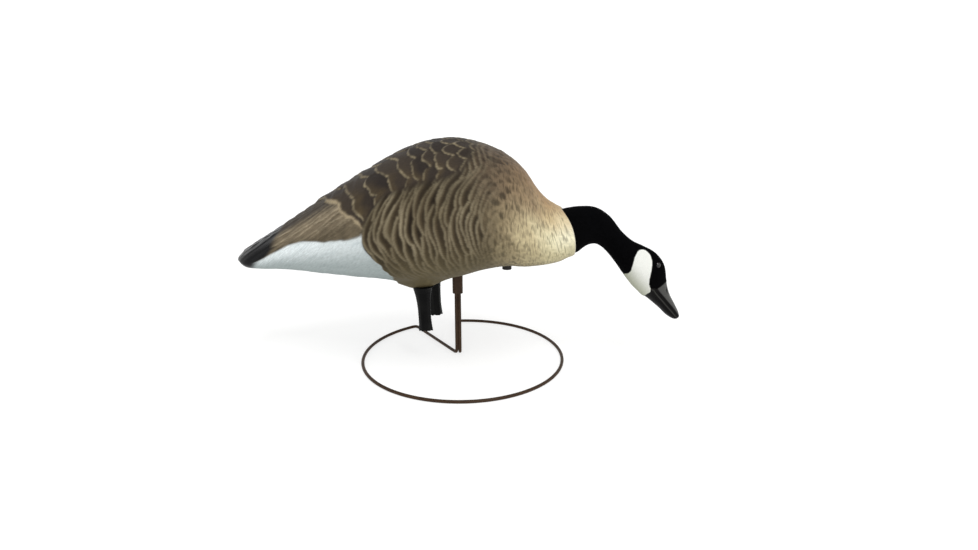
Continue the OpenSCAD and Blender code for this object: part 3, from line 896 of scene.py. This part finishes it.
def head_relief(p):
    """Relief height of the neck, head and bill in mm."""
    t, up = p.t, p.up
    bare = 1 - p.bill
    flock = 0.25 * p.grain * bare + 0.7 * bare * ease(7.6, 8.4, t)
    mouth = 0.35 * ease(0, 1.5, p.over_mouth) * p.bill
    mouth = mouth - 0.8 * np.exp(-(p.over_mouth / 0.8) ** 2) * p.bill * ease(12.7, 12.3, t)
    slimming = 2.0 * ease(-5, -60, up) + 0.8 * ease(15, 60, up) * ease(8.9, 9.8, t)
    waist = -slimming * ease(7.8, 9.2, t) * ease(11.8, 10.2, t)
    tip = 0.6 * ease(11.0, 12.0, t) * ease(10, 60, up)
    nail = 0.4 * ease(12.1, 12.4, t) * ease(15, 35, up)
    throat = -1.8 * ease(-20, -70, up) * ease(0.3, 1.3, t) * ease(4.4, 3.0, t)
    lids = 0.7 * np.exp(-((p.from_eye - EYE_R - 1.2) / 1.1) ** 2)
    brow = 0.8 * np.exp(-((p.x - EYE_X + 3) / 9) ** 2 - ((up - 62) / 12) ** 2) * bare
    return flock + mouth + waist + tip + nail + throat + lids + brow - 1.1 * p.nostril


def horn_colour(p):
    """Near-black bill with a paler band over the mouth and a painted highlight line under it."""
    t, up = p.t, p.up
    horn = tint(srgb(3, 3, 3), srgb(12, 12, 11), noise(t * 3, up / 9, 95))
    band = ease(-3, 3, up - track(UPPER_BAND, t)) * ease(12.9, 11.8, t)
    lips = np.exp(-(p.over_mouth / 1.0) ** 2)
    # painted highlight: a thin light line just under the mouth
    highlight_streak = np.exp(-((p.over_mouth + 2.2) / 0.8) ** 2) * ease(12.6, 11.5, t)
    return coated(horn, ((78, 78, 76), band * 0.85), ((8, 8, 8), lips * 0.9),
                  ((70, 70, 66), highlight_streak * 0.6), ((6, 6, 6), np.clip(p.nostril * 1.3, 0, 1)))


def head_colour(p):
    """Black neck and head, the white cheek patch with painted shade towards the throat and underneath, and
    the bill.
    """
    up = p.up
    black = srgb(5, 5, 6) * (1 + 0.5 * p.grain)[..., None]
    # painted shade: the cheek patch greys towards the throat and underneath
    white = tint(srgb(222, 223, 217), srgb(168, 171, 154), ease(0, -62, up) * 0.9)
    white = tint(white, srgb(120, 122, 106), ease(-45, -85, up) * 0.5)
    ragged = p.t + 0.03 * p.grain
    in_patch = ease(0.028, -0.028, ragged - track(PATCH_FRONT, up))
    in_patch = in_patch * ease(-0.028, 0.028, ragged - track(PATCH_REAR, up)) * ease(61.0, 59.6, up)
    return tint(tint(black, white, in_patch * (1 - p.bill)), horn_colour(p), p.bill)


def carve_head(head):
    """Hollows the head like the frame's own and opens it for the plug and the eyes."""
    inside = head_point(*round_grid(np.linspace(0.25, 9.2, 80), 64), 1.0)
    hollow = skin("head_hollow", to_metres(inside))
    carve(hollow, copy_of("head_neck", "head_copy"))
    carve(head, hollow)
    carve(head, cylinder("plug_cut", SEAM - NECK_AXIS * 0.004, SEAM + NECK_AXIS * 0.010, PLUG_HOLE))
    for node in ("eye_left", "eye_right"):
        carve(head, copy_of(node, node + "_cut"))


def build_head():
    """Flocked neck and head with a glossy bill."""
    neck, face = np.linspace(0, 5.3, 64)[:-1], np.linspace(5.3, 12, 176)[:-1]
    t, a = round_grid(np.concatenate([neck, face, np.linspace(12, HEAD_END, 22)]), 144)
    plain = head_point(t, a)
    places = HeadPlaces(t, a, plain)
    height = head_relief(places) * ease(HEAD_END, HEAD_END - 0.1, t) * ease(0, 0.1, t)
    outer = to_metres(plain + surface_normals(plain) * height[..., None])
    head = skin("flocked_head", outer)
    carve_head(head)

    bill = places.bill
    flow = np.stack([t * 16, a * 20, 0 * t], -1) * MM
    near, inside = dress(head, outer, head_colour(places), bill, flow, srgb(30, 30, 30), 0.8 * MM)
    flock = new_material("flock", flock_inputs)
    horn = painted_material("bill_gloss", (300.0, 900.0), 0.12, 0.56, 0.0001, 0.07)
    paint_with(head, flock, horn)
    on_bill = (bill.ravel()[near] > 0.5) & ~inside
    for face in head.data.polygons:
        face.material_index = int(all(on_bill[list(face.vertices)]))
    shade(head, 60)
    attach(head, "head")
    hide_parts("head_neck")


def flock_inputs(tree):
    """Short matt flocking over the painted colour."""
    fibre = noise_node(tree, 2600.0, 3.0, 0.7)
    tone = ranged(tree, fibre, 0.3, 0.7, 0.82, 1.15)
    return {"Base Color": scaled(tree, attribute(tree, "paint", "Color"), tone),
            "Roughness": ranged(tree, fibre, 0.3, 0.7, 0.92, 1.0),
            "Specular IOR Level": 0.02,
            "Normal": bump(tree, fibre, 0.5, 0.0002)}


PUPIL_R, PUPIL_EDGE = 0.0024, 0.0004


def eye_inputs(tree):
    """Dark brown glass eye with a black pupil."""
    coords = add(tree, "TexCoord", {}, "Object")
    centre = POST + Vector((EYE_X, 0, EYE_Z)) * MM
    flat = add(tree, "VectorMath", {0: coords, 1: (1, 0, 1), 2: (-centre.x, 0, -centre.z)},
               operation="MULTIPLY_ADD")
    reach = add(tree, "VectorMath", {0: flat}, "Value", operation="LENGTH")
    iris = ranged(tree, reach, PUPIL_R, PUPIL_R + PUPIL_EDGE, 0.0, 1.0)
    return {"Base Color": two_tone(tree, iris, srgb(2, 2, 2), srgb(16, 9, 6)),
            "Roughness": 0.08,
            "Specular IOR Level": 0.5}


# ---------- legs and base
# Radius by height, in mm
LEG_PROFILE = [[53, 10.6], [56, 10.1], [62, 9.5], [72, 9.1], [86, 9.2], [96, 9.7], [106, 10.8],
               [114, 12.6], [119, 14.0], [122, 15.0]]
LEG_LOW, LEG_HIGH = 53, 122


def build_leg(node, seed):
    """Rubber leg stub, flared under the body, with a torn lower end."""
    mid, _ = node_middle(node)
    z, a = round_grid(np.linspace(LEG_LOW, LEG_HIGH, 60), 72)
    torn = 2.6 * noise(3 + 2.2 * np.cos(a), 3 + 2.2 * np.sin(a), seed)
    torn = torn + 0.9 * np.abs((a * 11 / math.pi) % 2 - 1)
    z = z + torn * ease(66, LEG_LOW, z)
    creases = np.sin(z * 1.5 + 2 * noise(np.cos(a) * 3 + 5, np.sin(a) * 3 + 5, seed + 1) * 6)
    ribs = 0.3 * np.cos(7 * a + seed) * ease(116, 100, z)
    radius = track(LEG_PROFILE, z) + 0.2 * creases * ease(121, 112, z) + ribs
    shift = 1.2 * ease(80, LEG_LOW, z) - 2.0 * ease(75, LEG_HIGH, z)
    shift = shift * ease(LEG_HIGH + 0.001, 119, z)
    x, y = radius * np.cos(a) + shift, 0.94 * radius * np.sin(a)
    y = mix(y, radius * np.sin(a), ease(110, 121, z))
    leg = skin(node + "_rubber", np.stack([x * MM + mid.x, y * MM + mid.y, z * MM], -1))
    stem = copy_of(node, node + "_stem")
    carve(stem, upright(node + "_keep", mid, LEG_TOP - 0.0002, ABOVE_BELLY, 0.02), "INTERSECT")
    carve(leg, stem, "UNION")
    paint_with(leg, MATERIALS["leg"])
    shade(leg, 45)
    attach(leg, "decoy")
    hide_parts(node)


# The rod in mm, and each upright's side of the post and direction of its spoke
ROD_R, RING_R, UPRIGHT_TOP, UPRIGHT_X, BEND = 2.4, 151.5, 122.0, 2.5, 4.5
SPOKES = ((-1, 123.5), (1, 95.5))
BEAD_R, BEAD_LOW, BEAD_HIGH = 1.15, 9, 119


def rod_line():
    """Middle line of the base rod in mm: up one upright, round the ring and up the other."""
    post = np.array([POST.x, POST.y]) / MM
    ends = []
    for side, degrees in SPOKES:
        foot = post + np.array([side * UPRIGHT_X, 0])
        way = np.array([math.cos(math.radians(degrees)), math.sin(math.radians(degrees))])
        k = foot @ way
        reach = math.sqrt(k * k - foot @ foot + RING_R**2) - k
        ends.append((foot, foot + way * reach))
    (foot_a, out_a), (foot_b, out_b) = ends
    start = math.atan2(out_a[1], out_a[0])
    stop = math.atan2(out_b[1], out_b[0]) + TURN
    ring = [(RING_R * math.cos(q), RING_R * math.sin(q), ROD_R) for q in np.linspace(start, stop, 900)]
    up, down = [(*foot_a, UPRIGHT_TOP), (*foot_a, ROD_R)], [(*foot_b, ROD_R), (*foot_b, UPRIGHT_TOP)]
    return np.array([*up, *ring, *down])


def rounded(line, spacing, sigma):
    """The line resampled evenly, with its corners rounded off."""
    run = run_of(line, 0)
    even = np.arange(0, run[-1], spacing)
    points = np.stack([np.interp(even, run, line[:, k]) for k in range(3)], -1)
    reach = int(4 * sigma / spacing)
    kernel = np.exp(-0.5 * (np.arange(-reach, reach + 1) * spacing / sigma) ** 2)
    before = 2 * points[0] - points[reach:0:-1]
    after = 2 * points[-1] - points[-2:-reach - 2:-1]
    padded = np.vstack([before, points, after])
    return np.stack([np.convolve(padded[:, k], kernel / kernel.sum(), "valid") for k in range(3)], -1)


def weld_bead():
    """Weld that fills the slit between the two uprights."""
    z, q = round_grid(np.linspace(BEAD_LOW, BEAD_HIGH, 130), 10)
    radius = BEAD_R + 0.12 * np.sin(z * 2.1) + 0.15 * (noise(z / 3, 0 * z, 44) - 0.5)
    x, y = POST.x / MM + radius * np.cos(q), POST.y / MM + radius * np.sin(q)
    return skin("bead", np.stack([x, y, z], -1) * MM)


def tube(line, radius, sides):
    """Rings of points round a line, carried along it without twisting."""
    along = np.gradient(line, axis=0)
    along /= np.linalg.norm(along, axis=1, keepdims=True)
    across = np.cross(along, [0, 0, 1])
    for k in range(len(line)):
        if np.linalg.norm(across[k]) < 0.2:
            across[k] = across[k - 1] if k else [1, 0, 0]
        across[k] -= along[k] * (across[k] @ along[k])
        across[k] /= np.linalg.norm(across[k])
        if k and across[k] @ across[k - 1] < 0:
            across[k] = -across[k]
    lift = np.cross(along, across)
    q = np.linspace(0, TURN, sides, endpoint=False)[None, :, None]
    return line[:, None] + radius * (np.cos(q) * across[:, None] + np.sin(q) * lift[:, None])


def build_rod():
    """One bent rod with soft bends, in place of the frame's mitred one."""
    line = rounded(rod_line(), 1.0, BEND)[::2]
    rod = skin("bent_rod", tube(line, ROD_R, 18) * MM)
    carve(rod, weld_bead(), "UNION")
    paint_with(rod, MATERIALS["rod_coat"])
    shade(rod, 50)
    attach(rod, "stand")
    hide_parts("base_rod")


# ---------- carried-over nodes
def build_materials():
    """The materials shared by the smaller parts, by name."""
    make = plain_material
    return {
        "rod_coat": make("rod_coat", (50, 35, 23), (60, 43, 28), 0.5, scale=1400, relief=0.35, spec=0.15),
        "steel": make("steel", (150, 152, 154), (176, 178, 180), 0.32, metal=0.9, scale=700, relief=0.1),
        "bronze": make("bronze", (158, 118, 70), (184, 142, 88), 0.38, metal=0.9, scale=600, relief=0.1),
        "nylon": make("nylon", (26, 24, 22), (37, 35, 32), 0.55, scale=500, relief=0.15, spec=0.2),
        "rubber": make("rubber", (20, 20, 19), (32, 32, 30), 0.62, scale=800, spec=0.3),
        "leg": make("leg_rubber", (4, 4, 4), (15, 15, 14), 0.5, scale=420, depth=0.0002, spec=0.08),
        "eye": new_material("glass_eye", eye_inputs),
    }


FINISHES = {
    "rod_coat": ("post_sleeve",),
    "steel": ("spindle", "spindle_clip", "trunnion_pins", "bracket_screws"),
    "bronze": ("hub_bush",),
    "nylon": ("sleeve_plug", "thrust_washer", "swivel_hub", "pivot_bracket", "stake_socket",
              "stake_socket_nut", "neck_socket", "neck_plug"),
    "rubber": ("rubber_bushes", "rock_stops", "belly_grommet", "neck_seal"),
    "eye": ("eye_left", "eye_right"),
}


def finish_nodes():
    """Materials for the frame's own nodes that stay as they are."""
    for finish, nodes in FINISHES.items():
        for node in nodes:
            paint_with(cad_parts[node], MATERIALS[finish])


# ---------- camera, floor and light
CAMERA_PLACE, CAMERA_DOWN, CAMERA_TURN = (0.0539, -0.9474, 0.4125), 16.7, 0.4
SENSOR, LENS = 36, 24.3
STAGE_R, STAGE_SIDES, WALL = 6.0, 96, 3.2
FLOOR_GLOW, WALL_GLOW, SKY = 0.7, 1.04, 0.3
# Name, direction, strength and spread in degrees
LAMPS = (("key", (-0.3, 0.45, -1.0), 1.6, 32), ("fill", (0.4, -0.3, -1.0), 0.6, 60),
         ("spark", (-0.5, 0.8, -0.9), 0.25, 6))


def build_camera():
    """Camera at the photograph's place and angle."""
    data = bpy.data.cameras.new("camera")
    data.sensor_width = SENSOR
    data.lens = LENS
    cam = placed("camera", data)
    cam.location = POST + Vector(CAMERA_PLACE)
    cam.rotation_euler = (math.radians(90 - CAMERA_DOWN), 0, math.radians(CAMERA_TURN))
    bpy.context.scene.camera = cam


def floor_inputs(tree):
    """Matt pale grey that glows nearly white."""
    return {"Base Color": two_tone(tree, noise_node(tree, 3.0), srgb(160, 160, 159), srgb(164, 164, 163)),
            "Emission Color": (1, 1, 1, 1),
            "Emission Strength": FLOOR_GLOW,
            "Roughness": 0.95,
            "Specular IOR Level": 0.0}


def backdrop_inputs(tree):
    """Glowing white."""
    return {"Emission Color": two_tone(tree, noise_node(tree, 0.5), (1, 1, 1), (0.98, 0.98, 0.98)),
            "Base Color": (0.2, 0.2, 0.2, 1),
            "Emission Strength": WALL_GLOW}


def build_stage():
    """Pale round floor with a bright wall all round it."""
    angles = np.linspace(0, TURN, STAGE_SIDES, endpoint=False)
    rim = [(STAGE_R * math.cos(k), STAGE_R * math.sin(k), 0) for k in angles]
    floor = new_object("floor", rim, [list(range(STAGE_SIDES))])
    paint_with(floor, new_material("floor_paint", floor_inputs))
    top = [(x, y, WALL) for x, y, _ in rim]
    pairs = [(k, (k + 1) % STAGE_SIDES) for k in range(STAGE_SIDES)]
    panels = [[a, b, STAGE_SIDES + b, STAGE_SIDES + a] for a, b in pairs]
    backdrop = new_object("backdrop", rim + top, panels)
    paint_with(backdrop, new_material("backdrop_glow", backdrop_inputs))


def build_light():
    """A dim white world and soft lamps from above."""
    world = bpy.data.worlds.new("studio")
    bpy.context.scene.world = world
    world.use_nodes = True
    tree = world.node_tree
    fill(tree, tree.nodes["Background"], {"Color": (1, 1, 1, 1), "Strength": SKY})
    for name, toward, strength, spread in LAMPS:
        lamp = bpy.data.lights.new(name, "SUN")
        lamp.energy = strength
        lamp.angle = math.radians(spread)
        obj = placed(name, lamp)
        obj.rotation_euler = Vector(toward).to_track_quat("-Z", "Y").to_euler()
        obj.location = (0, 0, 2)
    bpy.context.scene.view_settings.view_transform = "Standard"


MATERIALS = build_materials()
build_body()
build_head()
build_leg("leg_left", 5)
build_leg("leg_right", 8)
build_rod()
finish_nodes()
build_camera()
build_stage()
build_light()
